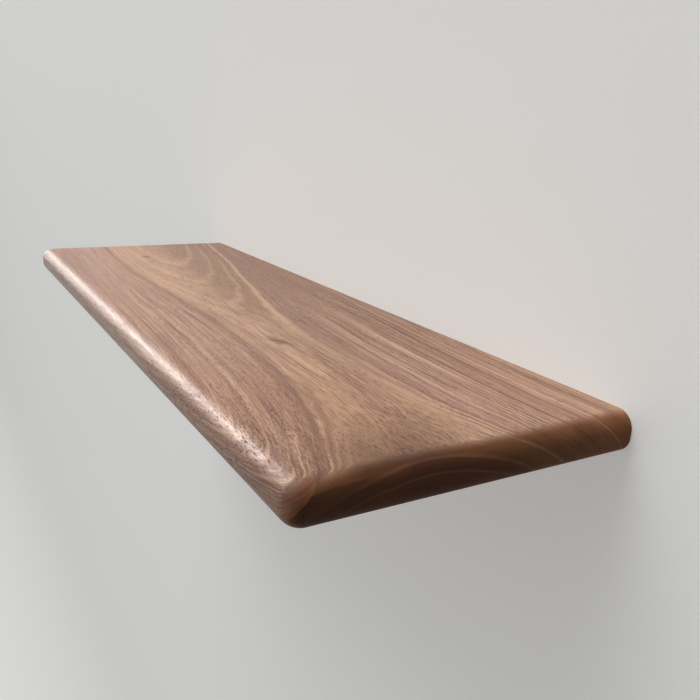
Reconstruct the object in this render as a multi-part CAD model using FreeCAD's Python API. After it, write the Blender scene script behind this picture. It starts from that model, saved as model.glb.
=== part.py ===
import FreeCAD, Part
import math
import os

from FreeCAD import Vector

# A floating wall shelf. A solid walnut board with rounded edges slides over two steel rods.
# The rods stand on plates that are screwed to the wall and let into the board's back edge.
# A grub screw under each rod, in a brass insert, keeps the board from being pulled off.
# Frame: X along the board, Y into the wall, Z up. The origin is on the wall plane, in the
# middle of the board's back face. All lengths are millimetres.

# Walnut board
board_length = 600.0
board_depth = 194.0
board_thickness = 23.0
edge_flat = 3.4
top_corner_radius = 0.6
back_arris = 0.5

# Wall plates, let into pockets in the board's back edge
support_inset = 100.0
wall_hole_spacing = 50.0
plate_end_margin = 13.0
plate_height = 16.0
plate_thickness = 5.0
plate_arris = 0.5
pocket_clearance = 0.4
screw_hole_clearance = 0.25
head_clearance = 0.05

# Support rods, in blind bores in the board
rod_diameter = 12.0
rod_length = 120.0
rod_tip_chamfer = 1.5
rod_bore_clearance = 0.1
rod_bore_end_room = 4.0
drill_point_angle = 118.0

# Rod screws, from behind the plates into the rods' tapped ends
rod_screw_diameter = 6.0
rod_screw_length = 16.0
rod_screw_head_diameter = 11.3
rod_screw_head_rim = 0.4
rod_screw_pitch = 1.0
rod_screw_thread_depth = 0.55
rod_screw_socket_width = 4.0
rod_screw_socket_depth = 2.2
rod_tap_clearance = 0.1
rod_tap_spare_depth = 3.0

# Wall screws
wall_screw_diameter = 4.5
wall_screw_length = 50.0
wall_screw_head_diameter = 8.8
wall_screw_head_rim = 0.4
wall_screw_neck_length = 6.0
wall_screw_pitch = 2.2
wall_screw_thread_depth = 0.75
wall_screw_tip_length = 4.5
recess_width = 4.4
recess_bottom_width = 2.2
recess_slot_width = 1.0
recess_depth = 2.4

# Wall plugs, flush with the wall
plug_diameter = 8.0
plug_length = 40.0
plug_solid_ribs = 3
plug_tip_chamfer = 0.6
plug_slit_width = 1.0
plug_rib_pitch = 4.0
plug_groove_width = 1.3
plug_groove_depth = 0.4
plug_bore_clearance = 0.1

# Lock screws and their threaded inserts, under the rods
lock_screw_setback = 45.0
lock_screw_diameter = 5.0
lock_screw_pitch = 0.8
lock_screw_thread_depth = 0.45
lock_screw_tip_gap = 0.05
lock_screw_recess = 0.5
lock_screw_cup_diameter = 2.5
lock_screw_cup_depth = 0.7
lock_screw_socket_width = 2.5
lock_screw_socket_depth = 2.2
insert_wall = 1.4
insert_thread_clearance = 0.06
insert_hole_clearance = 0.04
insert_recess = 0.2
insert_top_gap = 0.4
insert_groove_width = 0.8
insert_groove_depth = 0.4
insert_slot_width = 1.2
insert_slot_depth = 0.8

# How far a cutting shape reaches past the face it opens, and how near counts as the same place
cut_overrun = 1.0
same_place = 0.001

along_x = Vector(1, 0, 0)
up = Vector(0, 0, 1)
down = Vector(0, 0, -1)
to_wall = Vector(0, 1, 0)
from_wall = Vector(0, -1, 0)

edge_radius = (board_thickness - edge_flat) / 2
corner_radius = edge_radius + top_corner_radius
plate_length = wall_hole_spacing + 2 * plate_end_margin
pocket_depth = plate_thickness + pocket_clearance
rod_radius = rod_diameter / 2
rod_bore_radius = rod_radius + rod_bore_clearance
insert_bore_radius = lock_screw_diameter / 2 + insert_thread_clearance
insert_radius = insert_bore_radius + insert_wall


def turned(outline, foot, axis):
    """A lathe-turned solid: (radius, height) points swept about the axis through foot."""
    points = [foot + along_x * radius + axis * height for radius, height in outline]
    profile = Part.Face(Part.makePolygon(points + points[:1]))
    return profile.revolve(foot, axis, 360)


def drilled_hole(radius, depth, foot, axis):
    """A drilled hole's space: a cylinder from foot, open towards the drill, with a drill point."""
    point_depth = radius / math.tan(math.radians(drill_point_angle / 2))
    outline = [(0, -cut_overrun), (radius, -cut_overrun), (radius, depth), (0, depth + point_depth)]
    return turned(outline, foot, axis)


def obround(length, height, centre_x, y_from, y_to):
    """A bar with half-round ends, lying along X between two distances from the wall."""
    end_radius = height / 2
    straight = length / 2 - end_radius
    top_left = Vector(centre_x - straight, y_from, end_radius)
    top_right = Vector(centre_x + straight, y_from, end_radius)
    right_tip = Vector(centre_x + length / 2, y_from, 0)
    bottom_right = Vector(centre_x + straight, y_from, -end_radius)
    bottom_left = Vector(centre_x - straight, y_from, -end_radius)
    left_tip = Vector(centre_x - length / 2, y_from, 0)
    edges = [
        Part.LineSegment(top_left, top_right).toShape(),
        Part.Arc(top_right, right_tip, bottom_right).toShape(),
        Part.LineSegment(bottom_right, bottom_left).toShape(),
        Part.Arc(bottom_left, left_tip, top_left).toShape(),
    ]
    return Part.Face(Part.Wire(edges)).extrude(to_wall * (y_to - y_from))


def hexagon_socket(width, depth, foot, axis, across):
    """The space of a hexagon socket of a width across flats, sunk from foot along the axis."""
    corner = width / math.sqrt(3)
    side = axis.cross(across)
    turns = [math.radians(60 * step) for step in range(6)]
    start = foot - axis * cut_overrun
    points = [start + across * corner * math.cos(turn) + side * corner * math.sin(turn) for turn in turns]
    return Part.Face(Part.makePolygon(points + points[:1])).extrude(axis * (depth + cut_overrun))


def cross_recess(foot, axis):
    """The space of a cross recess: two crossed slots that narrow towards the bottom."""
    slots = []
    for width_way, slot_way in ((along_x, up), (up, along_x)):
        start = foot - slot_way * recess_slot_width / 2
        lip = width_way * recess_width / 2
        bottom = width_way * recess_bottom_width / 2
        rise = axis * cut_overrun
        sink = axis * recess_depth
        points = [start + lip - rise, start + lip, start + bottom + sink]
        points += [start - bottom + sink, start - lip, start - lip - rise]
        slot = Part.Face(Part.makePolygon(points + points[:1])).extrude(slot_way * recess_slot_width)
        slots.append(slot)
    return slots[0].fuse(slots[1])


def countersunk_space(screw_diameter, head_diameter, head_rim, foot, axis):
    """The space that a countersunk screw needs in a plate: its head, then a clearance hole."""
    hole_radius = screw_diameter / 2 + screw_hole_clearance
    seat_radius = head_diameter / 2 + head_clearance
    seat_end = head_rim + seat_radius - hole_radius
    outline = [(0, -cut_overrun), (seat_radius, -cut_overrun), (seat_radius, head_rim)]
    outline += [(hole_radius, seat_end), (hole_radius, plate_thickness + cut_overrun)]
    outline += [(0, plate_thickness + cut_overrun)]
    return turned(outline, foot, axis)


def thread(crest, root, pitch, start, end):
    """Ridges of a screw thread as (radius, height) points, one ridge a pitch, running out at end."""
    points = []
    for ridge in range(int((end - start) / pitch)):
        foot = start + ridge * pitch
        points += [(root, foot), (crest, foot + pitch / 2)]
    return points + [(root, end)]


def make_board(support_places):
    """One walnut plank, rounded over on its front and ends, bored and recessed for its supports."""
    corner = Vector(-board_length / 2, -board_depth, -board_thickness / 2)
    board = Part.makeBox(board_length, board_depth, board_thickness, corner)

    # The two front corners are rounded in plan
    corners = []
    for edge in board.Edges:
        middle = edge.CenterOfMass
        if abs(middle.z) < same_place and middle.y < same_place - board_depth:
            corners.append(edge)
    board = board.makeFillet(corner_radius, corners)

    # The front and the ends are rounded over above and below, and the back stays square
    rim = []
    for edge in board.Edges:
        middle = edge.CenterOfMass
        if abs(middle.z) > board_thickness / 2 - same_place and middle.y < -same_place:
            rim.append(edge)
    board = board.makeFillet(edge_radius, rim)

    # A sanded arris all round the back face
    back_edges = [edge for edge in board.Edges if edge.CenterOfMass.y > -same_place]
    board = board.makeChamfer(back_arris, back_edges)

    for x in support_places:
        pocket_length = plate_length + 2 * pocket_clearance
        pocket_height = plate_height + 2 * pocket_clearance
        pocket = obround(pocket_length, pocket_height, x, -pocket_depth, cut_overrun)
        rod_foot = Vector(x, -plate_thickness, 0)
        rod_bore = drilled_hole(rod_bore_radius, rod_length + rod_bore_end_room, rod_foot, from_wall)
        hole_radius = insert_radius + insert_hole_clearance
        hole_foot = Vector(x, -lock_screw_setback, -board_thickness / 2 - cut_overrun)
        insert_hole = Part.makeCylinder(hole_radius, board_thickness / 2 + cut_overrun, hole_foot, up)
        board = board.cut(pocket).cut(rod_bore).cut(insert_hole)
    return board


def make_wall_plate(x):
    """An obround steel plate: two countersunk holes for the wall, one from behind for the rod."""
    plate = obround(plate_length, plate_height, x, -plate_thickness, 0)
    front_edges = [edge for edge in plate.Edges if edge.CenterOfMass.y < same_place - plate_thickness]
    plate = plate.makeChamfer(plate_arris, front_edges)
    for screw_x in (x - wall_hole_spacing / 2, x + wall_hole_spacing / 2):
        screw_foot = Vector(screw_x, -plate_thickness, 0)
        wall_hole = countersunk_space(
            wall_screw_diameter, wall_screw_head_diameter, wall_screw_head_rim, screw_foot, to_wall
        )
        plate = plate.cut(wall_hole)
    rod_hole = countersunk_space(
        rod_screw_diameter, rod_screw_head_diameter, rod_screw_head_rim, Vector(x, 0, 0), from_wall
    )
    return plate.cut(rod_hole)


def make_support_rod(x):
    """A round steel rod that butts on its plate, tapped at that end and chamfered at the tip."""
    foot = Vector(x, -plate_thickness, 0)
    tip_radius = rod_radius - rod_tip_chamfer
    outline = [(0, 0), (rod_radius, 0), (rod_radius, rod_length - rod_tip_chamfer)]
    outline += [(tip_radius, rod_length), (0, rod_length)]
    tap_depth = rod_screw_length - plate_thickness + rod_tap_spare_depth
    tapped_hole = drilled_hole(rod_screw_diameter / 2 + rod_tap_clearance, tap_depth, foot, from_wall)
    return turned(outline, foot, from_wall).cut(tapped_hole)


def make_rod_screw(x):
    """A countersunk socket screw, its head flush with the back of the plate."""
    foot = Vector(x, 0, 0)
    crest = rod_screw_diameter / 2
    root = crest - rod_screw_thread_depth
    head_radius = rod_screw_head_diameter / 2
    head_end = rod_screw_head_rim + head_radius - crest
    outline = [(0, 0), (head_radius, 0), (head_radius, rod_screw_head_rim), (crest, head_end)]
    outline += [(crest, plate_thickness)]
    outline += thread(crest, root, rod_screw_pitch, plate_thickness, rod_screw_length)
    outline += [(0, rod_screw_length)]
    socket = hexagon_socket(rod_screw_socket_width, rod_screw_socket_depth, foot, from_wall, along_x)
    return turned(outline, foot, from_wall).cut(socket)


def make_wall_screw(x):
    """A countersunk wood screw with a cross recess, its head flush with the front of the plate."""
    foot = Vector(x, -plate_thickness, 0)
    crest = wall_screw_diameter / 2
    root = crest - wall_screw_thread_depth
    head_radius = wall_screw_head_diameter / 2
    head_end = wall_screw_head_rim + head_radius - crest
    thread_end = wall_screw_length - wall_screw_tip_length
    outline = [(0, 0), (head_radius, 0), (head_radius, wall_screw_head_rim), (crest, head_end)]
    outline += [(crest, head_end + wall_screw_neck_length)]
    outline += thread(crest, root, wall_screw_pitch, head_end + wall_screw_neck_length, thread_end)
    outline += [(0, wall_screw_length)]
    return turned(outline, foot, to_wall).cut(cross_recess(foot, to_wall))


def make_wall_plug(x):
    """A ribbed nylon plug, split crosswise from its tip into four prongs round the screw."""
    foot = Vector(x, 0, 0)
    radius = plug_diameter / 2
    groove_radius = radius - plug_groove_depth
    bore_radius = wall_screw_diameter / 2 + plug_bore_clearance
    outline = [(bore_radius, 0), (radius, 0)]
    for rib in range(1, int(plug_length / plug_rib_pitch)):
        groove_end = rib * plug_rib_pitch
        groove_start = groove_end - plug_groove_width
        outline += [(radius, groove_start), (groove_radius, groove_start)]
        outline += [(groove_radius, groove_end), (radius, groove_end)]
    outline += [(radius, plug_length - plug_tip_chamfer), (radius - plug_tip_chamfer, plug_length)]
    outline += [(bore_radius, plug_length)]
    plug = turned(outline, foot, to_wall)
    slit_start = plug_solid_ribs * plug_rib_pitch - plug_groove_width / 2
    slit_length = plug_length - slit_start + cut_overrun
    slit_span = plug_diameter + cut_overrun
    for width, height in ((plug_slit_width, slit_span), (slit_span, plug_slit_width)):
        corner = Vector(x - width / 2, slit_start, -height / 2)
        plug = plug.cut(Part.makeBox(width, slit_length, height, corner))
    return plug


def make_threaded_insert(x):
    """A brass insert, grooved to grip the wood, with a driving slot in its lower end."""
    foot = Vector(x, -lock_screw_setback, insert_recess - board_thickness / 2)
    length = board_thickness / 2 - insert_recess - rod_bore_radius - insert_top_gap
    groove_radius = insert_radius - insert_groove_depth
    groove_start = (length - insert_groove_width) / 2
    groove_end = (length + insert_groove_width) / 2
    outline = [(insert_bore_radius, 0), (insert_radius, 0), (insert_radius, groove_start)]
    outline += [(groove_radius, groove_start), (groove_radius, groove_end)]
    outline += [(insert_radius, groove_end), (insert_radius, length), (insert_bore_radius, length)]
    slot_length = 2 * insert_radius + cut_overrun
    slot_corner = foot - Vector(slot_length / 2, insert_slot_width / 2, cut_overrun)
    slot = Part.makeBox(slot_length, insert_slot_width, insert_slot_depth + cut_overrun, slot_corner)
    return turned(outline, foot, up).cut(slot)


def make_lock_screw(x):
    """A grub screw: a cup point just clear of the rod, and a hexagon socket at the lower end."""
    foot = Vector(x, -lock_screw_setback, -rod_radius - lock_screw_tip_gap)
    length = board_thickness / 2 - rod_radius - lock_screw_tip_gap - lock_screw_recess
    crest = lock_screw_diameter / 2
    root = crest - lock_screw_thread_depth
    outline = [(0, lock_screw_cup_depth), (lock_screw_cup_diameter / 2, 0)]
    outline += thread(crest, root, lock_screw_pitch, 0, length)
    outline += [(0, length)]
    end = foot + down * length
    socket = hexagon_socket(lock_screw_socket_width, lock_screw_socket_depth, end, up, along_x)
    return turned(outline, foot, down).cut(socket)


pieces = {}
sides = {"left": -1, "right": 1}
support_places = {side: sign * (board_length / 2 - support_inset) for side, sign in sides.items()}

pieces["walnut_board"] = make_board(support_places.values())
for side, sign in sides.items():
    x = support_places[side]
    pieces[side + "_wall_plate"] = make_wall_plate(x)
    pieces[side + "_support_rod"] = make_support_rod(x)
    pieces[side + "_rod_screw"] = make_rod_screw(x)
    pieces[side + "_threaded_insert"] = make_threaded_insert(x)
    pieces[side + "_lock_screw"] = make_lock_screw(x)
    for place, way in {"outer": sign, "inner": -sign}.items():
        screw_x = x + way * wall_hole_spacing / 2
        pieces[side + "_" + place + "_wall_screw"] = make_wall_screw(screw_x)
        pieces[side + "_" + place + "_wall_plug"] = make_wall_plug(screw_x)

os.makedirs("parts", exist_ok=True)
for name, shape in pieces.items():
    shape.exportStep("parts/" + name + ".step")
    solids = len(shape.Solids)
    print(name, "solids", solids, "valid", shape.isValid(), "volume", round(shape.Volume, 2))
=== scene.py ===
import math

import bmesh
import bpy
import numpy as np
from mathutils import Matrix, Vector


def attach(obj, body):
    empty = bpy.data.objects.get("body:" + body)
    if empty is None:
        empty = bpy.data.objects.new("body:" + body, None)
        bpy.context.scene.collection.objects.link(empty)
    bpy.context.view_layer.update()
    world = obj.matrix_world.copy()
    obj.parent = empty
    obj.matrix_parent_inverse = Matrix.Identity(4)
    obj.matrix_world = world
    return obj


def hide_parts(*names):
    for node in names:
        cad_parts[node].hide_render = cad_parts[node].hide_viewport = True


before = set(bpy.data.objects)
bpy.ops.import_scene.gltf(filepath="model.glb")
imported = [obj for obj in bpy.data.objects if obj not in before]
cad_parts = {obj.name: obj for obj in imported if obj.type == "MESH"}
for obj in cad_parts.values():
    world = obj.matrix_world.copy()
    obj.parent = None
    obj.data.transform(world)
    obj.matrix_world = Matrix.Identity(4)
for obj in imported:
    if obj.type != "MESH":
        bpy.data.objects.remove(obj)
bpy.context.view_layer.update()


# Wall plugs
# Four moulded nylon plugs, pushed into holes drilled in the wall until they lie flush with it.
# Ribs round them grip the wall, and their split ends spread as the screws are driven in.

def add_node(tree, kind, inputs=None, **settings):
    """Adds one node. Settings are its properties, inputs are values or sockets, by name or place."""
    node = tree.nodes.new(kind)
    for name, value in settings.items():
        setattr(node, name, value)
    for name, value in (inputs or {}).items():
        if isinstance(value, bpy.types.NodeSocket):
            tree.links.new(value, node.inputs[name])
        else:
            node.inputs[name].default_value = value
    return node


def vector_maths(tree, operation, *values):
    """The result of one sum on two or three vectors."""
    return add_node(tree, "ShaderNodeVectorMath", dict(enumerate(values)), operation=operation).outputs[0]


def ramped(tree, value, low, high, to_low=0.0, to_high=1.0):
    """A value carried smoothly from the span low to high onto another span, and held at its ends."""
    inputs = dict(enumerate((value, low, high, to_low, to_high)))
    return add_node(tree, "ShaderNodeMapRange", inputs, interpolation_type="SMOOTHSTEP").outputs[0]


def mixed(tree, share, under, over, way="MIX"):
    """One colour laid over another by a share from 0 to 1."""
    # The node has numbers, vectors and colours side by side: these are the places of its colours
    inputs = {0: share, 6: under, 7: over}
    return add_node(tree, "ShaderNodeMix", inputs, data_type="RGBA", blend_type=way).outputs[2]


def cloudy(tree, place, scale=1.0, detail=2.0):
    """Soft noise from about 0 to 1, with a number of clouds per unit of the place."""
    inputs = {"Vector": place, "Scale": scale, "Detail": detail}
    return add_node(tree, "ShaderNodeTexNoise", inputs).outputs[0]


def stretched(tree, place, sizes):
    """A place divided by three sizes, so that one unit is as long as each of them."""
    return vector_maths(tree, "MULTIPLY", place, [1 / size for size in sizes])


def streaky(tree, place, sizes, detail=2.0):
    """Soft noise from about 0 to 1, whose clouds are as large along X, Y and Z as three sizes."""
    return cloudy(tree, stretched(tree, place, sizes), detail=detail)


def paint(red, green, blue):
    """A colour as a screen shows it, 0 to 255, in the linear light that a shader takes."""
    level = np.array([red, green, blue]) / 255
    linear = np.where(level <= 0.04045, level / 12.92, ((level + 0.055) / 1.055) ** 2.4)
    return (*linear.tolist(), 1.0)


def new_finish(name, sockets):
    """A material with one Principled shader. What is the same all over is set on its sockets."""
    finish = bpy.data.materials.new(name)
    finish.use_nodes = True
    tree = finish.node_tree
    shader = tree.nodes["Principled BSDF"]
    for socket, value in sockets.items():
        shader.inputs[socket].default_value = value
    return finish, tree, shader


def object_place(tree):
    """Where a point lies in its object, in metres."""
    return add_node(tree, "ShaderNodeTexCoord").outputs["Object"]


def feed(tree, shader, sockets):
    """Links what changes over the surface to the shader's sockets, by name."""
    for name, socket in sockets.items():
        tree.links.new(socket, shader.inputs[name])


def give_relief(tree, shader, height, depth):
    """Bumps of a depth in metres, from a height between 0 and 1."""
    bump = add_node(tree, "ShaderNodeBump", {"Height": height, "Distance": depth, "Strength": 1.0})
    feed(tree, shader, {"Normal": bump.outputs[0]})


def dress(finish, names):
    """Gives CAD nodes a finish in place of their plain one."""
    for name in names:
        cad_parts[name].material_slots[0].material = finish


screw_places = ("left_outer", "left_inner", "right_inner", "right_outer")
noise_span = (0.3, 0.7)
plug_grey = paint(176, 178, 180)
plug_grey_thin = paint(196, 198, 199)
plug_roughness = (0.42, 0.55)
flow_size = (0.004, 0.016, 0.004)
mould_grain_count = 5200.0
mould_grain_depth = 0.00002

nylon, tree, shader = new_finish("moulded_nylon", {"IOR": 1.53, "Specular IOR Level": 0.45})
place = object_place(tree)
flow = streaky(tree, place, flow_size, 3.0)
colour = mixed(tree, flow, plug_grey, plug_grey_thin)
rough = ramped(tree, flow, *noise_span, *plug_roughness)
feed(tree, shader, {"Base Color": colour, "Roughness": rough})
give_relief(tree, shader, cloudy(tree, place, mould_grain_count), mould_grain_depth)
dress(nylon, [name + "_wall_plug" for name in screw_places])


# Wall plates
# Two obround steel plates, cut and countersunk from strip and zinc plated.
# Each is screwed to the wall through its two outer holes and sits in a pocket of the board.

def maths(tree, operation, *values):
    """The result of one sum on one to three values or sockets."""
    return add_node(tree, "ShaderNodeMath", dict(enumerate(values)), operation=operation).outputs[0]


def seen_from(tree, place, middle, turn, sizes):
    """A place as seen from a middle, turned by three angles, with three sizes as its units."""
    inputs = {"Vector": place, "Location": middle, "Rotation": turn, "Scale": sizes}
    return add_node(tree, "ShaderNodeMapping", inputs, vector_type="TEXTURE").outputs[0]


def metal_marks():
    """What handling and making leave on metal: fine lines across one way, scratches and smudges.

    Scratches are the peaks of a noise that is long, narrow and thin, and they lean three ways."""
    scratch_size = (0.012, 0.0024, 0.00024)
    scratch_leans = (0.3, 1.1, -0.6)
    scratch_span = (0.72, 0.84)
    smudge_count = 55.0
    group = bpy.data.node_groups.new("metal_marks", "ShaderNodeTree")
    for name in ("Lines place", "Place"):
        group.interface.new_socket(name, in_out="INPUT", socket_type="NodeSocketVector")
    for name in ("Lines", "Scratches", "Smudges"):
        group.interface.new_socket(name, in_out="OUTPUT", socket_type="NodeSocketFloat")
    given = add_node(group, "NodeGroupInput").outputs
    scratches = 0.0
    for lean in scratch_leans:
        turned = seen_from(group, given["Place"], (0.0, 0.0, 0.0), (0.0, lean, 0.0), scratch_size)
        hair = ramped(group, cloudy(group, turned, detail=0.0), *scratch_span)
        scratches = maths(group, "MAXIMUM", hair, scratches)
    results = {
        "Lines": cloudy(group, given["Lines place"], detail=4.0),
        "Scratches": scratches,
        "Smudges": cloudy(group, given["Place"], smudge_count, 3.0),
    }
    add_node(group, "NodeGroupOutput", results)
    return group


marks_group = metal_marks()


def marks_on(tree, line_size):
    """Places the marks in a material, with the size of its fine lines along X, Y and Z in metres."""
    place = object_place(tree)
    inputs = {"Lines place": stretched(tree, place, line_size), "Place": place}
    return add_node(tree, "ShaderNodeGroup", inputs, node_tree=marks_group).outputs


def metal_skin(tree, shader, marks, cloud, colour, worn, roughness, cloud_roughness):
    """A metal's colour with its scratches, and roughness that follows its fine lines and its clouds."""
    line_rough = ramped(tree, marks["Lines"], *noise_span, *roughness)
    rough = maths(tree, "MULTIPLY_ADD", cloud, cloud_roughness, line_rough)
    scratched = mixed(tree, marks["Scratches"], colour, worn)
    feed(tree, shader, {"Base Color": scratched, "Roughness": rough})


supports = ("left", "right")
zinc_bright = paint(206, 210, 214)
zinc_dull = paint(168, 174, 182)
zinc_scratch = paint(222, 222, 220)
strip_lines = (0.02, 0.02, 0.0002)
strip_relief = 0.000006

plated, tree, shader = new_finish("zinc_plated_strip", {"Metallic": 1.0})
marks = marks_on(tree, strip_lines)
cloud = ramped(tree, marks["Smudges"], 0.35, 0.65)
colour = mixed(tree, cloud, zinc_bright, zinc_dull)
metal_skin(tree, shader, marks, cloud, colour, zinc_scratch, roughness=(0.26, 0.36), cloud_roughness=0.1)
give_relief(tree, shader, maths(tree, "SUBTRACT", marks["Lines"], marks["Scratches"]), strip_relief)
dress(plated, [side + "_wall_plate" for side in supports])


# Support rods
# Two round bars of bright drawn steel, faced, chamfered at the tip and tapped at the wall end.
# Each stands square on its plate, pulled tight against it by the rod screw from behind.

rod_bright = paint(202, 200, 196)
rod_dark = paint(160, 158, 156)
rod_scratch = paint(226, 224, 220)
drawn_lines = (0.0003, 0.05, 0.0003)
drawn_relief = 0.000008

drawn, tree, shader = new_finish("bright_drawn_steel", {"Metallic": 1.0})
marks = marks_on(tree, drawn_lines)
cloud = ramped(tree, marks["Smudges"], 0.4, 0.7)
colour = mixed(tree, cloud, rod_bright, rod_dark)
metal_skin(tree, shader, marks, cloud, colour, rod_scratch, roughness=(0.16, 0.28), cloud_roughness=0.12)
give_relief(tree, shader, maths(tree, "SUBTRACT", marks["Lines"], marks["Scratches"]), drawn_relief)
dress(drawn, [side + "_support_rod" for side in supports])


# Rod screws
# Two countersunk socket screws of blackened steel, driven from behind the plates into the rods.
# Their heads lie flush with the back of the plate, so that it sits flat on the wall.

oxide_black = paint(42, 42, 44)
oxide_brown = paint(58, 50, 44)
oxide_worn = paint(120, 118, 114)
oxide_grain = (0.0006, 0.0006, 0.0006)
oxide_relief = 0.000012

blackened, tree, shader = new_finish("black_oxide_steel", {"Metallic": 0.85})
marks = marks_on(tree, oxide_grain)
cloud = ramped(tree, marks["Smudges"], 0.4, 0.68)
colour = mixed(tree, cloud, oxide_black, oxide_brown)
metal_skin(tree, shader, marks, cloud, colour, oxide_worn, roughness=(0.3, 0.44), cloud_roughness=0.1)
give_relief(tree, shader, marks["Lines"], oxide_relief)
dress(blackened, [side + "_rod_screw" for side in supports])


# Wall screws
# Four countersunk wood screws with a cross recess, zinc plated and passivated yellow.
# They go through the plates into the plugs and carry the whole load.

yellow_zinc = paint(214, 184, 112)
yellow_green = paint(190, 184, 122)
yellow_rose = paint(216, 168, 124)
screw_worn = paint(214, 212, 206)
screw_grain = (0.0008, 0.0008, 0.0008)
screw_relief = 0.000008
hue_count = 420.0

passivated, tree, shader = new_finish("yellow_zinc_steel", {"Metallic": 1.0})
marks = marks_on(tree, screw_grain)
hue = cloudy(tree, object_place(tree), hue_count)
colour = mixed(tree, ramped(tree, hue, 0.35, 0.55), yellow_green, yellow_zinc)
colour = mixed(tree, ramped(tree, hue, 0.55, 0.75), colour, yellow_rose)
metal_skin(tree, shader, marks, hue, colour, screw_worn, roughness=(0.2, 0.32), cloud_roughness=0.1)
give_relief(tree, shader, marks["Lines"], screw_relief)
dress(passivated, [name + "_wall_screw" for name in screw_places])


# Walnut board
# One flat-sawn walnut plank, planed, rounded over on its front and ends, sanded and oiled.
# Pockets and bores in its back edge take the plates and rods. Two holes below take the inserts.

board_length = 0.600
board_depth = 0.194
board_thickness = 0.023
edge_flat = 0.0034
edge_radius = (board_thickness - edge_flat) / 2
corner_extra = 0.0006
corner_radius = edge_radius + corner_extra
back_arris = 0.0005
edge_steps = 14
corner_steps = 14
front_steps = 60
end_steps = 24


def sheet_faces(rows, columns, first=0, closed=False):
    """Four-sided faces between the neighbours of a grid of points, row by row, as an array of places."""
    grid = first + np.arange(rows * columns).reshape(rows, columns)
    if closed:
        grid = np.concatenate([grid, grid[:, :1]], axis=1)
    corners = (grid[:-1, :-1], grid[1:, :-1], grid[1:, 1:], grid[:-1, 1:])
    return np.stack(corners, axis=-1).reshape(-1, 4)


def joined_mesh(name, sheets, rings=()):
    """One closed mesh from sheets of points, each an array of rows, columns and X, Y, Z.

    Rings are sheets whose last column runs on into the first, such as turned surfaces.
    Points in the same place become one, and every face is turned outwards."""
    same_place = 1e-6
    no_length = 1e-7
    points = []
    faces = []
    count = 0
    for sheet, closed in [(sheet, False) for sheet in sheets] + [(ring, True) for ring in rings]:
        rows, columns = sheet.shape[:2]
        points.append(sheet.reshape(-1, 3))
        faces.append(sheet_faces(rows, columns, count, closed))
        count += rows * columns
    mesh = bpy.data.meshes.new(name)
    mesh.from_pydata(np.concatenate(points), [], np.concatenate(faces).tolist())
    shape = bmesh.new()
    shape.from_mesh(mesh)
    bmesh.ops.remove_doubles(shape, verts=shape.verts, dist=same_place)
    bmesh.ops.dissolve_degenerate(shape, edges=shape.edges, dist=no_length)
    bmesh.ops.recalc_face_normals(shape, faces=shape.faces)
    shape.to_mesh(mesh)
    shape.free()
    piece = bpy.data.objects.new(name, mesh)
    bpy.context.scene.collection.objects.link(piece)
    return piece


def edge_profile(radius, flat):
    """Inset and height down the board's edge: a quarter round, a short flat, a quarter round.

    At a turn from the top, the inset is radius - radius sin(turn), and the height is
    flat / 2 + radius cos(turn)."""
    turn = np.linspace(0, np.pi / 2, edge_steps + 1)
    inset = radius * (1 - np.sin(turn))
    height = flat / 2 + radius * np.cos(turn)
    return np.concatenate([inset, inset[::-1]]), np.concatenate([height, -height[::-1]])


def outline_path():
    """The line of the plan's corner centres, and the way out from it, round from back to back.

    Straight along the left end, a quarter turn, along the front, a quarter turn, along the right end."""
    corner_x = board_length / 2 - corner_radius
    corner_y = corner_radius - board_depth
    turn = np.linspace(0, np.pi / 2, corner_steps + 1)
    end_y = np.linspace(-back_arris, corner_y, end_steps + 1)[:-1]
    front_x = np.linspace(-corner_x, corner_x, front_steps + 1)[1:-1]
    end_centre = np.stack([np.full_like(end_y, -corner_x), end_y], axis=-1)
    end_way = np.stack([np.full_like(end_y, -1.0), np.zeros_like(end_y)], axis=-1)
    turn_centre = np.tile([-corner_x, corner_y], (len(turn), 1))
    turn_way = np.stack([-np.cos(turn), -np.sin(turn)], axis=-1)
    left_centre = np.concatenate([end_centre, turn_centre])
    left_way = np.concatenate([end_way, turn_way])
    front_centre = np.stack([front_x, np.full_like(front_x, corner_y)], axis=-1)
    front_way = np.tile([0.0, -1.0], (len(front_x), 1))
    mirror = np.array([-1.0, 1.0])
    centre = np.concatenate([left_centre, front_centre, left_centre[::-1] * mirror])
    way = np.concatenate([left_way, front_way, left_way[::-1] * mirror])
    return centre, way


def row_between(left, columns_x):
    """Rows of points from left points to their mirror images, through the same X places in each row."""
    rows = len(left)
    middle = np.tile(columns_x, (rows, 1))
    x = np.concatenate([left[:, :1], middle, -left[:, :1]], axis=1)
    other = np.repeat(left[:, None, 1:], x.shape[1], axis=1)
    return np.concatenate([x[..., None], other], axis=-1)


def plank_sheets():
    """The plank's skin: the edge profile carried round the outline, two flats, the back and its arris."""
    inset, height = edge_profile(edge_radius, edge_flat)
    centre, way = outline_path()
    plan = centre[:, None, :] + way[:, None, :] * (corner_radius - inset)[None, :, None]
    level = np.broadcast_to(height[None, :, None], (*plan.shape[:2], 1))
    rim = np.concatenate([plan, level], axis=-1)
    left_count = end_steps + corner_steps + 1
    corner_x = board_length / 2 - corner_radius
    columns_x = np.linspace(-corner_x, corner_x, front_steps + 1)
    top = row_between(rim[:left_count, 0], columns_x)
    under = row_between(rim[:left_count, -1], columns_x)
    back_inset, back_height = edge_profile(edge_radius - back_arris, edge_flat)
    back_left_x = back_inset + back_arris - board_length / 2
    back_left = np.stack([back_left_x, np.zeros_like(back_left_x), back_height], axis=-1)
    back = row_between(back_left, columns_x)
    arris = [
        np.stack([top[0], back[0]]),
        np.stack([under[0], back[-1]]),
        np.stack([rim[0], back[:, 0]]),
        np.stack([rim[-1], back[:, -1]]),
    ]
    return [rim, top, under, back, *arris]


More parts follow.
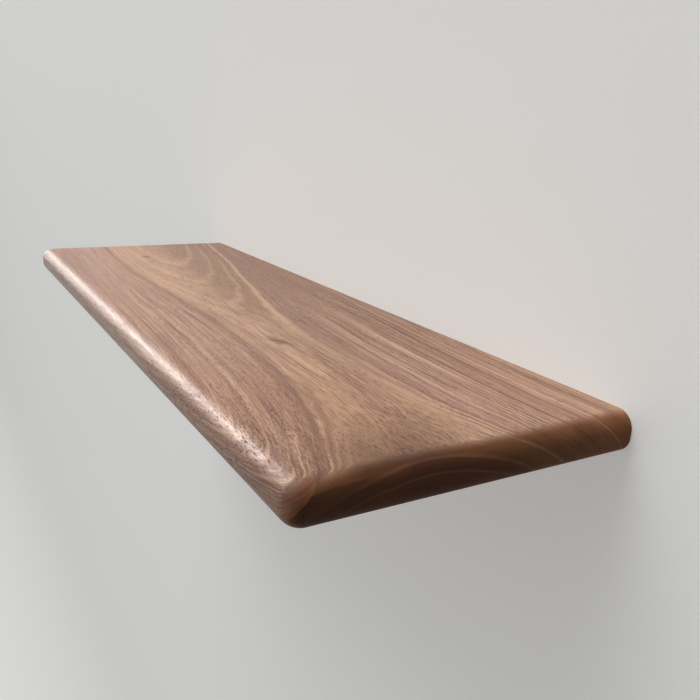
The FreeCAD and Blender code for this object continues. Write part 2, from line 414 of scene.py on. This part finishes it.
def turned_sheet(radii, heights, foot, axis, steps=64):
    """A lathe-turned surface: each radius and height carried round an axis through a foot."""
    turn = np.linspace(0, 2 * np.pi, steps, endpoint=False)
    axis = Vector(axis)
    across = axis.orthogonal().normalized()
    beside = axis.cross(across)
    ring = np.outer(np.cos(turn), across) + np.outer(np.sin(turn), beside)
    radii = np.asarray(radii)[:, None, None]
    heights = np.asarray(heights)[:, None, None]
    return np.asarray(foot) + radii * ring[None] + heights * np.asarray(axis)


def pocket_sheet(centre_x, length, height, depth, overrun, steps=24):
    """A pocket's space: a half-round-ended outline carried from past the back face to its floor."""
    radius = height / 2
    turn = np.linspace(-np.pi / 2, np.pi / 2, steps + 1)
    right_x = length / 2 - radius + radius * np.cos(turn)
    z = np.concatenate([radius * np.sin(turn), -radius * np.sin(turn)])
    x = centre_x + np.concatenate([right_x, -right_x])
    flat = np.stack([x, np.zeros_like(x), z], axis=-1)
    middle = np.tile([centre_x, 0.0, 0.0], (len(x), 1))
    levels = np.array([overrun, overrun, -depth, -depth])
    rows = np.stack([middle, flat, flat, middle])
    rows[..., 1] = levels[:, None]
    return rows


support_inset = 0.100
plate_length = 0.076
plate_height = 0.016
plate_thickness = 0.005
pocket_clearance = 0.0004
rod_bore_start = 0.003
rod_bore_radius = 0.0061
rod_bore_depth = 0.129
rod_bore_point = 0.00367
insert_setback = 0.045
insert_hole_radius = 0.0040
cut_overrun = 0.002
cut_same_place = 2e-6
most_corners = 4
sharp_angle = math.radians(32)

board = joined_mesh("walnut_shelf", plank_sheets())
half_thick = board_thickness / 2
for side_x in (support_inset - board_length / 2, board_length / 2 - support_inset):
    pocket = pocket_sheet(
        side_x,
        plate_length + 2 * pocket_clearance,
        plate_height + 2 * pocket_clearance,
        plate_thickness + pocket_clearance,
        cut_overrun,
    )
    bore = turned_sheet(
        (0.0, rod_bore_radius, rod_bore_radius, 0.0),
        (0.0, 0.0, rod_bore_depth, rod_bore_depth + rod_bore_point),
        (side_x, -rod_bore_start, 0.0),
        (0.0, -1.0, 0.0),
    )
    insert_hole = turned_sheet(
        (0.0, insert_hole_radius, insert_hole_radius, 0.0),
        (-cut_overrun, -cut_overrun, half_thick, half_thick),
        (side_x, -insert_setback, -half_thick),
        (0.0, 0.0, 1.0),
    )
    for name, space in (("pocket", pocket), ("bore", bore), ("insert_hole", insert_hole)):
        cutter = joined_mesh("cutter_" + name, [], [space])
        cut = board.modifiers.new("cut_" + name, "BOOLEAN")
        cut.operation = "DIFFERENCE"
        cut.solver = "EXACT"
        cut.object = cutter
        as_cut = board.evaluated_get(bpy.context.evaluated_depsgraph_get())
        cut_mesh = bpy.data.meshes.new_from_object(as_cut)
        board.modifiers.clear()
        board.data = cut_mesh
        bpy.data.objects.remove(cutter)
shape = bmesh.new()
shape.from_mesh(board.data)
bmesh.ops.remove_doubles(shape, verts=shape.verts, dist=cut_same_place)
bmesh.ops.dissolve_degenerate(shape, edges=shape.edges, dist=cut_same_place)
bmesh.ops.triangulate(shape, faces=[face for face in shape.faces if len(face.verts) > most_corners])
shape.to_mesh(board.data)
shape.free()
board.data.name = "walnut_shelf"
board.data.shade_smooth()
board.data.set_sharp_from_angle(angle=sharp_angle)

# The wood is worked out in millimetres: X runs from -300 at the left end to 300 at the right, which is the
# near end in the picture, Y from -194 at the front to 0 at the wall, and Z from -11.5 to 11.5. Along is
# the share of the length from the left end
millimetre = 0.001
walnut, tree, shader = new_finish("oiled_walnut", {"IOR": 1.45, "Specular IOR Level": 0.5})
grain = stretched(tree, object_place(tree), (millimetre, millimetre, millimetre))
x, y, z = add_node(tree, "ShaderNodeSeparateXYZ", {0: grain}).outputs
along = maths(tree, "MULTIPLY_ADD", x, millimetre / board_length, 0.5)


def smooth_curve(tree, share, points):
    """A smooth curve through given points, from a share of the length to a share of a span."""
    node = add_node(tree, "ShaderNodeFloatCurve", {"Value": share})
    curve = node.mapping.curves[0]
    curve.points[0].location = points[0]
    curve.points[1].location = points[-1]
    for point in points[1:-1]:
        curve.points.new(*point)
    node.mapping.update()
    return node.outputs[0]


# The pith that the growth rings go round: how far it runs from the wall, and how deep below the top
pith_out_least = 60.0
pith_out_span = 80.0
pith_out_points = (
    (0.0, 0.134), (0.072, 0.2), (0.183, 0.288), (0.278, 0.375), (0.367, 0.437), (0.478, 0.496),
    (0.556, 0.538), (0.694, 0.604), (0.833, 0.688), (1.0, 0.825),
)
pith_deep_least = 115.0
pith_deep_span = 20.0
pith_deep_points = (
    (0.0, 0.215), (0.072, 0.265), (0.183, 0.365), (0.278, 0.465), (0.367, 0.585), (0.478, 0.69),
    (0.556, 0.745), (0.694, 0.795), (0.833, 0.76), (0.972, 0.505), (1.0, 0.39),
)
out_share = smooth_curve(tree, along, pith_out_points)
deep_share = smooth_curve(tree, along, pith_deep_points)
pith_out = maths(tree, "MULTIPLY_ADD", out_share, pith_out_span, pith_out_least)
pith_deep = maths(tree, "MULTIPLY_ADD", deep_share, pith_deep_span, pith_deep_least)
past_pith = maths(tree, "ADD", y, pith_out)
above_pith = maths(tree, "ADD", maths(tree, "SUBTRACT", z, half_thick / millimetre), pith_deep)
past_squared = maths(tree, "POWER", past_pith, 2.0)
above_squared = maths(tree, "POWER", above_pith, 2.0)
from_pith = maths(tree, "SQRT", maths(tree, "ADD", past_squared, above_squared))


def product(*values):
    """Two or more values or sockets multiplied together, in the material at hand."""
    result = values[0]
    for value in values[1:]:
        result = maths(tree, "MULTIPLY", result, value)
    return result


# Growth rings, a little wavy and uneven in width, each dark towards its end and some darker than others
ring_width = 2.3
ring_unevenness = 1.6
uneven_length = 8.0
sway = streaky(tree, grain, (110.0, 38.0, 38.0))
ripple = streaky(tree, grain, (26.0, 7.0, 7.0))
for wave, reach in ((sway, 2.0), (ripple, 0.9)):
    from_pith = maths(tree, "MULTIPLY_ADD", maths(tree, "SUBTRACT", wave, 0.5), reach, from_pith)
width_noise = add_node(
    tree,
    "ShaderNodeTexNoise",
    {"W": maths(tree, "DIVIDE", from_pith, uneven_length), "Scale": 1.0, "Detail": 1.0},
    noise_dimensions="1D",
).outputs[0]
even_ring = maths(tree, "DIVIDE", from_pith, ring_width)
ring = maths(tree, "MULTIPLY_ADD", width_noise, ring_unevenness, even_ring)
ring_share = maths(tree, "FRACT", ring)
ring_chance = add_node(
    tree, "ShaderNodeTexWhiteNoise", {"W": maths(tree, "FLOOR", ring)}, noise_dimensions="1D"
).outputs[0]
ring_strength = ramped(tree, ring_chance, 0.0, 1.0, 0.2, 1.0)
late_wood = product(ramped(tree, ring_share, 0.45, 0.92), ramped(tree, ring_share, 1.0, 0.94), ring_strength)


def by_distance(colour_stops, first=90.0, span=100.0):
    """The colour at each distance from the pith, between stops of a distance and a colour."""
    share = maths(tree, "MULTIPLY_ADD", from_pith, 1 / span, -first / span)
    node = add_node(tree, "ShaderNodeValToRGB", {"Fac": share})
    stops = node.color_ramp.elements
    for count, (distance, shade) in enumerate(colour_stops):
        position = (distance - first) / span
        stop = stops[count] if count < 2 else stops.new(position)
        stop.position = position
        stop.color = shade
    return node.outputs[0]


def ring_line(distance, width):
    """A thin line at one distance from the pith, fading to nothing at its width on either side."""
    away = maths(tree, "ABSOLUTE", maths(tree, "SUBTRACT", from_pith, distance))
    return ramped(tree, away, width, 0.0)


# The wood's colour is its heartwood's, with the layers laid over it in turn
layers = []


def lay(share, shade):
    """Lays one of the wood's shades over the colour so far, by a share."""
    layers.append((share, shade, "MIX"))


def tint(share, factors):
    """Multiplies the red, green and blue of the colour so far by factors, by a share."""
    layers.append((share, factors, "MULTIPLY"))


def lay_marks(marks):
    """Lays marks in turn, each a row of its mask, where it shows, how strongly, and its shade."""
    for mask, area, strength, shade in marks:
        lay(product(mask, area, strength), shade)


# The colour of the heartwood by its distance from the pith: tan inside, mauve brown outside, tan again
# towards the bark
walnut_dark = paint(102, 60, 41)
walnut_light = paint(226, 186, 150)
walnut_pore = paint(72, 38, 25)
zone_stops = (
    (95.0, paint(149, 103, 77)),
    (113.0, paint(159, 115, 89)),
    (118.0, paint(170, 128, 100)),
    (122.0, paint(176, 134, 106)),
    (123.2, paint(185, 143, 113)),
    (124.8, paint(178, 135, 107)),
    (126.0, paint(186, 143, 113)),
    (128.6, paint(181, 138, 108)),
    (130.8, paint(186, 142, 111)),
    (132.4, paint(183, 139, 110)),
    (134.2, paint(180, 135, 112)),
    (138.0, paint(182, 137, 114)),
    (143.0, paint(186, 140, 116)),
    (150.0, paint(180, 134, 110)),
    (160.0, paint(186, 139, 112)),
    (168.0, paint(182, 135, 106)),
    (174.0, paint(200, 153, 116)),
)
outer = ramped(tree, from_pith, 131.0, 134.5)
inner = maths(tree, "SUBTRACT", 1.0, outer)
back_side = ramped(tree, past_pith, -14.0, 22.0)
front_side = ramped(tree, past_pith, 12.0, -10.0)

# The back half, behind the pith, is darker: partly darker wood, partly painted shade towards the wall,
# more so towards the left end. Nearest the wall, except at the right end, a painted shade darkens it further
back_wood_and_shade_tint = (0.7, 0.655, 0.62, 1.0)
wall_shade_tint = (0.85, 0.82, 0.8, 1.0)
back_wood_and_shade_area = product(back_side, ramped(tree, x, 60.0, 260.0, 1.0, 0.1))
wall_shade_area = product(ramped(tree, y, -62.0, -20.0), ramped(tree, x, 40.0, 240.0, 1.0, 0.0))
tint(back_wood_and_shade_area, back_wood_and_shade_tint)
tint(wall_shade_area, wall_shade_tint)

# The front half is paler near the pith. Further out it is browner to the right and greyer to the left, with
# a pale line where the outer wood begins
front_tint = (1.13, 1.13, 1.12, 1.0)
near_tint = (0.88, 0.82, 0.76, 1.0)
far_tint = (0.81, 0.81, 0.86, 1.0)
front_area = product(ramped(tree, past_pith, 10.0, -16.0), inner)
near_area = product(front_side, outer, ramped(tree, x, 40.0, 250.0))
far_area = product(ramped(tree, y, -148.0, -172.0), ramped(tree, x, 60.0, -240.0))
outer_line = product(ring_line(131.2, 2.4), front_side, ramped(tree, x, 240.0, 60.0, 0.0, 0.22))
tint(front_area, front_tint)
tint(near_area, near_tint)
tint(far_area, far_tint)
lay(outer_line, walnut_light)

# At the right end the front corner is darker and the rest warmer
corner_tint = (0.68, 0.63, 0.65, 1.0)
warm_tint = (0.98, 0.92, 0.83, 1.0)
corner_area = product(ramped(tree, past_pith, -40.0, -58.0), ramped(tree, x, 215.0, 275.0))
warm_area = product(ramped(tree, past_pith, 40.0, 10.0), ramped(tree, x, 110.0, 280.0))
tint(corner_area, corner_tint)
tint(warm_area, warm_tint)

# How far a face is turned to the end of the plank, where the grain is cut across
normal = add_node(tree, "ShaderNodeNewGeometry").outputs["Normal"]
facing = add_node(tree, "ShaderNodeSeparateXYZ", {0: normal}).outputs
end_turn = maths(tree, "ABSOLUTE", facing["X"])
lengthwise = ramped(tree, end_turn, 0.55, 0.12, 0.15, 1.0)

# Fibres, streaks and pores lie along the grain, so they are long along X and thin across it. Threads
# follow the growth rings, and show where these come up steeply
drawn_share = 0.5
drawn_y = maths(tree, "MULTIPLY_ADD", pith_out, drawn_share, y)
fibre_place = add_node(tree, "ShaderNodeCombineXYZ", {0: x, 1: drawn_y, 2: from_pith}).outputs[0]
bands = streaky(tree, fibre_place, (320.0, 26.0, 9.0))
streaks = streaky(tree, fibre_place, (170.0, 11.0, 2.6), 3.0)
fibres = streaky(tree, fibre_place, (70.0, 1.25, 0.9), 4.0)
hairs = streaky(tree, fibre_place, (38.0, 0.65, 0.5))
threads = streaky(tree, fibre_place, (230.0, 20.0, 0.65), 3.0)

# Where these marks are strong: in patches, on the front half, to the right and in the outer wood
patches = streaky(tree, grain, (120.0, 45.0, 45.0))
steep = ramped(tree, maths(tree, "ABSOLUTE", past_pith), 8.0, 38.0)
loose = ramped(tree, steep, 0.0, 1.0, 1.0, 0.6)
busy = product(ramped(tree, patches, 0.35, 0.65, 0.5, 1.0), lengthwise)
back_calm = ramped(tree, back_side, 0.0, 1.0, 1.0, 0.64)
fine_calm = maths(tree, "SUBTRACT", 1.0, product(back_side, ramped(tree, x, 20.0, 180.0, 0.3, 0.0)))
near_busy = product(busy, fine_calm, ramped(tree, x, -260.0, 120.0, 0.48, 1.0))
near_streaks = product(near_busy, back_calm)
near_steep = product(near_busy, steep, ramped(tree, x, -60.0, 200.0, 0.45, 1.0))
near_loose = product(near_busy, loose)
outer_busy = product(near_busy, ramped(tree, outer, 0.0, 1.0, 0.45, 1.0))
outer_loose = product(outer_busy, loose)
lay_marks((
    (ramped(tree, bands, 0.5, 0.72), back_calm, 0.22, walnut_dark),
    (ramped(tree, bands, 0.48, 0.28), back_calm, 0.22, walnut_light),
    (ramped(tree, streaks, 0.5, 0.72), near_streaks, 0.42, walnut_dark),
    (ramped(tree, streaks, 0.46, 0.28), near_streaks, 0.3, walnut_light),
    (late_wood, outer_busy, 0.62, walnut_dark),
    (ramped(tree, fibres, 0.5, 0.66), outer_loose, 0.7, walnut_dark),
    (ramped(tree, hairs, 0.5, 0.64), near_loose, 0.6, walnut_dark),
    (ramped(tree, hairs, 0.47, 0.34), near_loose, 0.35, walnut_light),
    (ramped(tree, fibres, 0.46, 0.32), outer_loose, 0.42, walnut_light),
    (ramped(tree, threads, 0.5, 0.64), near_steep, 0.46, walnut_dark),
    (ramped(tree, threads, 0.47, 0.36), near_steep, 0.46, walnut_light),
))

# Single rings that stand out, most of them weaker towards the right end
fade = ramped(tree, x, 90.0, 210.0, 1.0, 0.3)
lay_marks((
    (ring_line(114.3, 0.6), fade, 0.4, walnut_light),
    (ring_line(122.8, 0.6), fade, 0.24, walnut_light),
    (ring_line(126.2, 0.5), fade, 0.2, walnut_light),
    (ring_line(129.4, 0.5), fade, 0.24, walnut_light),
    (ring_line(123.8, 0.6), fade, 0.16, walnut_dark),
    (ring_line(127.0, 0.5), fade, 0.14, walnut_dark),
    (ring_line(130.2, 0.5), fade, 0.14, walnut_dark),
    (ring_line(160.3, 0.5), back_side, ramped(tree, x, 0.0, 160.0, 0.4, 0.85), walnut_light),
    (ring_line(166.0, 0.4), back_side, 0.35, walnut_light),
    (ring_line(133.4, 1.0), front_side, 0.4, walnut_dark),
    (ring_line(132.0, 1.0), back_side, ramped(tree, x, 150.0, 40.0, 0.1, 0.5), walnut_light),
))


def pores(sizes, reach):
    """Open vessels cut lengthwise: long thin grains, one in each cell of the sizes in millimetres."""
    inputs = {"Vector": stretched(tree, fibre_place, sizes), "Scale": 1.0}
    away = add_node(tree, "ShaderNodeTexVoronoi", inputs).outputs["Distance"]
    return ramped(tree, away, reach, maths(tree, "MULTIPLY", reach, 0.5))


# Pores are crowded in places, and short ones lie thick on the outer wood of the front, towards the right
pore_strength = 0.68
front_pore_reach = 0.24
crowd = streaky(tree, fibre_place, (50.0, 7.0, 4.0), 1.0)
near_length = product(ramped(tree, x, -120.0, 160.0), ramped(tree, x, 300.0, 250.0, 0.5, 1.0))
near_front = product(outer, front_side, near_length)
long_reach = ramped(tree, crowd, 0.35, 0.65, 0.18, 0.31)
short_reach = ramped(tree, crowd, 0.4, 0.7, 0.1, 0.22)
short_reach = maths(tree, "MULTIPLY_ADD", near_front, front_pore_reach, short_reach)
long_pores = pores((11.0, 0.85, 0.85), long_reach)
short_pores = pores((2.4, 0.8, 0.8), short_reach)
pitted = product(maths(tree, "MAXIMUM", long_pores, short_pores), lengthwise)
lay(product(pitted, pore_strength), walnut_pore)

# In front of the pith the grain dives at the right end, and the top goes dark as it nears the end
dive_tint = (0.4, 0.32, 0.24, 1.0)
dive_width = product(ramped(tree, past_pith, 30.0, -4.0), ramped(tree, past_pith, -56.0, -28.0))
dive_top = ramped(tree, end_turn, 0.3, 0.9, 1.0, 0.3)
tint(product(dive_width, ramped(tree, x, 235.0, 300.0), dive_top), dive_tint)

# Two small pin knots: place in millimetres, half length, half width, turn in degrees, strength
knot_brown = paint(92, 50, 32)
knot_half_height = 30.0
knot_wobble = 7.0
knots = (
    (-218.0, -106.0, 8.0, 4.0, 10.0, 0.7),
    (113.0, -112.0, 12.0, 4.0, 12.0, 0.8),
)
wobble_inputs = {"Vector": stretched(tree, grain, (6.0, 2.2, 6.0)), "Scale": 1.0}
wobble = add_node(tree, "ShaderNodeTexNoise", wobble_inputs).outputs["Color"]
shift = vector_maths(tree, "SUBTRACT", wobble, (0.5, 0.5, 0.5))
moved = vector_maths(tree, "MULTIPLY_ADD", shift, (knot_wobble, knot_wobble, knot_wobble), grain)
for knot_x, knot_y, half_length, half_width, degrees, strength in knots:
    middle = (knot_x, knot_y, 0.0)
    turn = (0.0, 0.0, math.radians(degrees))
    from_knot = seen_from(tree, moved, middle, turn, (half_length, half_width, knot_half_height))
    away = add_node(tree, "ShaderNodeVectorMath", {0: from_knot}, operation="LENGTH").outputs["Value"]
    lay(ramped(tree, away, 1.6, 0.3, 0.0, 0.55), walnut_dark)
    lay(ramped(tree, away, 0.95, 0.3, 0.0, strength), knot_brown)

# End grain drinks the oil and goes much darker, most of all near the pith
end_stops = (
    (95.0, (0.28, 0.155, 0.045, 1.0)),
    (112.0, (0.31, 0.18, 0.055, 1.0)),
    (118.0, (0.265, 0.14, 0.035, 1.0)),
    (121.5, (0.39, 0.25, 0.105, 1.0)),
    (130.0, (0.42, 0.29, 0.16, 1.0)),
    (144.0, (0.5, 0.36, 0.2, 1.0)),
    (158.0, (0.62, 0.44, 0.29, 1.0)),
)
end_patch_tint = (0.82, 0.8, 0.78, 1.0)
end_ring_tint = (0.82, 0.79, 0.76, 1.0)
end_starts = ramped(tree, past_pith, -60.0, -30.0, 0.25, 0.02)
end_full = ramped(tree, past_pith, -60.0, -30.0, 1.05, 0.66)
end_grain = ramped(tree, end_turn, end_starts, end_full)
end_only = ramped(tree, end_turn, 0.3, 0.8)
end_patches = streaky(tree, fibre_place, (60.0, 22.0, 7.0))
tint(end_grain, by_distance(end_stops))
tint(product(end_grain, ramped(tree, end_patches, 0.45, 0.65)), end_patch_tint)
tint(product(late_wood, end_only), end_ring_tint)

# A short check in the near end, close to the front corner: how far a point lies across it and along it.
# It starts to show at the first half width and half length, and is full at the second
check_y = -186.3
check_z = 1.9
check_lean = math.radians(50.0)
check_half_widths = (0.6, 0.15)
check_half_lengths = (5.6, 3.92)
check_blend = 0.8
from_y = maths(tree, "SUBTRACT", y, check_y)
from_z = maths(tree, "SUBTRACT", z, check_z)
across = maths(tree, "MULTIPLY", from_z, -math.cos(check_lean))
across = maths(tree, "MULTIPLY_ADD", from_y, math.sin(check_lean), across)
lengthways = maths(tree, "MULTIPLY", from_z, math.sin(check_lean))
lengthways = maths(tree, "MULTIPLY_ADD", from_y, math.cos(check_lean), lengthways)
past_check = ramped(tree, across, -check_blend, check_blend)
before_check = ramped(tree, across, check_blend, -check_blend)

# In the end the dark heart has a crisp edge, which widens towards the front and stops at the check
heart_radius = 120.9
heart_widening = 0.28
heart_widens_from = -24.0
heart_blend = 0.6
heart_tint = (0.82, 0.78, 0.7, 1.0)
heart_front_tint = (0.78, 0.75, 0.68, 1.0)
heart_rim_tint = (1.18, 1.18, 1.2, 1.0)
in_front = maths(tree, "MAXIMUM", maths(tree, "SUBTRACT", heart_widens_from, past_pith), 0.0)
heart_edge = maths(tree, "MULTIPLY_ADD", in_front, heart_widening, heart_radius)
past_heart = maths(tree, "SUBTRACT", from_pith, heart_edge)
in_heart = product(ramped(tree, past_heart, heart_blend, -heart_blend), past_check)
round_heart = maths(tree, "SUBTRACT", 1.0, in_heart)
tint(product(end_only, in_heart), heart_tint)
tint(product(end_only, in_heart, ramped(tree, past_pith, -28.0, -42.0)), heart_front_tint)
tint(product(end_only, round_heart, ramped(tree, past_pith, -5.0, -20.0)), heart_rim_tint)

# A few pale rings are left in the end
end_light = paint(206, 156, 118)
end_front = product(end_only, ramped(tree, past_pith, -50.0, -5.0, 0.25, 1.0))
end_back = product(end_only, ramped(tree, past_pith, 10.0, 30.0))
lay_marks((
    (ring_line(114.3, 1.0), end_front, 0.1, end_light),
    (ring_line(121.2, 1.2), end_front, 0.12, end_light),
    (ring_line(131.8, 0.9), end_back, 0.26, end_light),
    (ring_line(146.3, 0.8), end_back, 0.08, end_light),
    (ring_line(160.3, 0.6), end_back, 0.26, end_light),
))

# The check itself is nearly black, with darker wood on its inner side and paler wood on its outer side
check_dark = paint(44, 22, 12)
check_strength = 0.75
check_inner_tint = (0.8, 0.76, 0.7, 1.0)
check_outer_tint = (1.28, 1.28, 1.3, 1.0)
near_end = product(ramped(tree, end_turn, 0.35, 0.7), ramped(tree, x, 270.0, 290.0))
check_width = ramped(tree, maths(tree, "ABSOLUTE", across), *check_half_widths)
check_reach = ramped(tree, maths(tree, "ABSOLUTE", lengthways), *check_half_lengths)
tint(product(past_check, ramped(tree, y, -162.0, -180.0), near_end), check_inner_tint)
tint(product(before_check, near_end), check_outer_tint)
lay(product(check_width, check_reach, near_end, check_strength), check_dark)

colour = by_distance(zone_stops)
for share, shade, way in layers:
    colour = mixed(tree, share, colour, shade, way)

# The oiled wood is matt, a little burnished on its front edge, and rougher in its pores and end grain
wood_roughness = (0.52, 0.6)
burnish_roughness = -0.18
pore_roughness = 0.4
end_roughness = 0.3
pore_height = -0.6
fibre_height = -0.3
wood_relief = 0.0001
front_turn = ramped(tree, maths(tree, "MULTIPLY", facing["Y"], -1.0), 0.05, 0.4)
near_less = product(ramped(tree, x, 60.0, 200.0, 1.0, 0.72), ramped(tree, x, 250.0, 295.0, 1.0, -0.2))
burnished = product(front_turn, near_less)
rough = ramped(tree, fibres, *noise_span, *wood_roughness)
rough = maths(tree, "MULTIPLY_ADD", burnished, burnish_roughness, rough)
rough = maths(tree, "MULTIPLY_ADD", pitted, pore_roughness, rough)
rough = maths(tree, "MULTIPLY_ADD", end_grain, end_roughness, rough)
relief = maths(tree, "MULTIPLY_ADD", pitted, pore_height, product(fibres, lengthwise, fibre_height))
feed(tree, shader, {"Base Color": colour, "Roughness": rough})
give_relief(tree, shader, relief, wood_relief)
board.data.materials.clear()
board.data.materials.append(walnut)
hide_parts("walnut_board")
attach(board, "shelf_board")


# Threaded inserts
# Two turned brass bushes, grooved outside to grip the wood and threaded inside.
# They are driven into the underside below each rod with a blade in their slot.

brass_bright = paint(214, 176, 106)
brass_tarnish = paint(166, 124, 66)
brass_lines = (0.0009, 0.0009, 0.00012)
brass_relief = 0.000008

turned_brass, tree, shader = new_finish("turned_brass", {"Metallic": 1.0})
marks = marks_on(tree, brass_lines)
cloud = ramped(tree, marks["Smudges"], 0.38, 0.66)
colour = mixed(tree, cloud, brass_bright, brass_tarnish)
metal_skin(tree, shader, marks, cloud, colour, brass_bright, roughness=(0.18, 0.3), cloud_roughness=0.12)
give_relief(tree, shader, marks["Lines"], brass_relief)
dress(turned_brass, [side + "_threaded_insert" for side in supports])


# Lock screws
# Two blackened grub screws with a hexagon socket, turned up through the inserts against the rods.
# Backed out a little, they let the board slide off the rods again.

dress(blackened, [side + "_lock_screw" for side in supports])


# Wall and floor
# One plain pale sheet, hung behind the board as its wall and brought forward as a floor in a wide cove.
# It shows from the front only, and takes shadows without shading the board. A pale ball stands round it all.

plain_matt = {"Roughness": 1.0, "Specular IOR Level": 0.0}
backdrop_pale = paint(230, 230, 228)
backdrop_lift = 0.33
near_glance = 0.01
wall_gap = 0.0002
wall_height = 9.0
backdrop_reach = 16.0
floor_level = -2.9
cove_radius = 1.8
cove_steps = 40

backdrop_look = {"Base Color": backdrop_pale, "Emission Color": backdrop_pale, **plain_matt}
backdrop_paint, tree, shader = new_finish("backdrop_paint", backdrop_look)
behind = add_node(tree, "ShaderNodeNewGeometry").outputs["Backfacing"]
ray = add_node(tree, "ShaderNodeLightPath").outputs
glance = product(maths(tree, "LESS_THAN", ray["Ray Length"], near_glance), ray["Is Glossy Ray"])
unseen = maths(tree, "MAXIMUM", behind, glance)
seen = maths(tree, "MAXIMUM", ray["Is Camera Ray"], ray["Is Glossy Ray"])
seen = maths(tree, "MAXIMUM", seen, ray["Is Transmission Ray"])
feed(tree, shader, {"Emission Strength": product(seen, backdrop_lift)})
clear = add_node(tree, "ShaderNodeBsdfTransparent").outputs[0]
shown = add_node(tree, "ShaderNodeMixShader", {0: unseen, 1: shader.outputs[0], 2: clear}).outputs[0]
tree.links.new(shown, tree.nodes["Material Output"].inputs["Surface"])


def cove_sheet():
    """A profile of wall, quarter cove and floor, carried straight along X from side to side.

    In the cove, at a turn from the wall, Y is radius (cos(turn) - 1) and Z falls by radius sin(turn)."""
    turn = np.linspace(0, np.pi / 2, cove_steps + 1)
    cove_top = floor_level + cove_radius
    y = np.concatenate([[0.0], cove_radius * (np.cos(turn) - 1), [-backdrop_reach]])
    z = np.concatenate([[wall_height], cove_top - cove_radius * np.sin(turn), [floor_level]])
    profile = np.stack([np.zeros_like(y), y + wall_gap, z], axis=-1)
    ends = np.array([[-backdrop_reach, 0.0, 0.0], [backdrop_reach, 0.0, 0.0]])
    return profile[:, None, :] + ends[None, :, :]


cove = cove_sheet()
backdrop_mesh = bpy.data.meshes.new("pale_backdrop")
backdrop_mesh.from_pydata(cove.reshape(-1, 3), [], sheet_faces(*cove.shape[:2]).tolist())
backdrop_mesh.shade_smooth()
backdrop_mesh.materials.append(backdrop_paint)
backdrop = bpy.data.objects.new("pale_backdrop", backdrop_mesh)
bpy.context.scene.collection.objects.link(backdrop)
backdrop.visible_diffuse = False
backdrop.visible_shadow = False

surround_pale = paint(208, 208, 206)
surround_radius = 14.0
surround_steps = 48
surround_look = {
    "Base Color": (0.0, 0.0, 0.0, 1.0),
    "Emission Color": surround_pale,
    "Emission Strength": 1.0,
    **plain_matt,
}
surround_paint = new_finish("surround_paint", surround_look)[0]


def ball_sheet(radius, steps):
    """A ball about the origin: at a turn and a rise, X and Y lie on a circle of radius cos(rise)."""
    turn = np.linspace(0, 2 * np.pi, 2 * steps, endpoint=False)
    rise = np.linspace(-np.pi / 2, np.pi / 2, steps + 1)[:, None]
    x = np.cos(rise) * np.cos(turn)
    y = np.cos(rise) * np.sin(turn)
    z = np.sin(rise) + np.zeros_like(turn)
    return radius * np.stack([x, y, z], axis=-1)


surround = joined_mesh("pale_surround", [], [ball_sheet(surround_radius, surround_steps)])
surround.data.materials.append(surround_paint)
surround.visible_diffuse = False
surround.visible_glossy = False
surround.visible_shadow = False


# Light and camera
# Soft light from one large lamp high above, a pale room, and two lamps beyond the far end for gloss only.
# The camera stands near the right end, a little above the board, and looks along it to the wall.

def soft_lamp(name, place, target, width, height, power):
    """A rectangular soft lamp at a place, turned towards a target."""
    data = bpy.data.lights.new(name, "AREA")
    data.shape = "RECTANGLE"
    data.size = width
    data.size_y = height
    data.energy = power
    lamp = bpy.data.objects.new(name, data)
    lamp.location = place
    lamp.rotation_euler = (Vector(target) - Vector(place)).to_track_quat("-Z", "Y").to_euler()
    bpy.context.scene.collection.objects.link(lamp)
    return lamp


board_middle = (0.0, -0.1, 0.0)
front_edge = (0.2, -0.19, 0.0)
soft_lamp("main_lamp", (-1.2, -2.0, 5.1), board_middle, width=4.4, height=3.7, power=150.0)
gloss_lamps = (
    soft_lamp("far_gloss_lamp", (-3.5, -1.0, 0.7), board_middle, width=1.5, height=1.8, power=16.0),
    soft_lamp("near_gloss_lamp", (-2.55, -1.65, 2.1), front_edge, width=1.8, height=1.8, power=185.0),
)
for lamp in gloss_lamps:
    lamp.visible_diffuse = False

# The room is lighter towards the far end, behind the wall and above
room_level = 0.42
room_slopes = (-0.36, 0.2, 0.22)
world = bpy.data.worlds.new("pale_room")
world.use_nodes = True
tree = world.node_tree
way = add_node(tree, "ShaderNodeTexCoord").outputs["Generated"]
room_light = room_level
for share, slope in zip(add_node(tree, "ShaderNodeSeparateXYZ", {0: way}).outputs, room_slopes):
    room_light = maths(tree, "MULTIPLY_ADD", share, slope, room_light)
tree.links.new(room_light, tree.nodes["Background"].inputs["Color"])
bpy.context.scene.world = world

camera_place = Vector((0.53082, -0.30676, 0.14272))
camera_turn = math.radians(30.70)
camera_dip = math.radians(16.39)
camera_lean = math.radians(-2.615)
lens = 38.31
forward = Vector((
    -math.cos(camera_turn) * math.cos(camera_dip),
    math.sin(camera_turn) * math.cos(camera_dip),
    -math.sin(camera_dip),
))
level_right = forward.cross(Vector((0.0, 0.0, 1.0))).normalized()
level_down = forward.cross(level_right)
right = level_right * math.cos(camera_lean) + level_down * math.sin(camera_lean)
down = level_down * math.cos(camera_lean) - level_right * math.sin(camera_lean)
camera_axes = Matrix((right, -down, -forward)).transposed().to_4x4()
camera_data = bpy.data.cameras.new("photo_camera")
camera_data.lens = lens
camera = bpy.data.objects.new("photo_camera", camera_data)
camera.matrix_world = Matrix.Translation(camera_place) @ camera_axes
bpy.context.scene.collection.objects.link(camera)
bpy.context.scene.camera = camera
bpy.context.scene.view_settings.view_transform = "Standard"
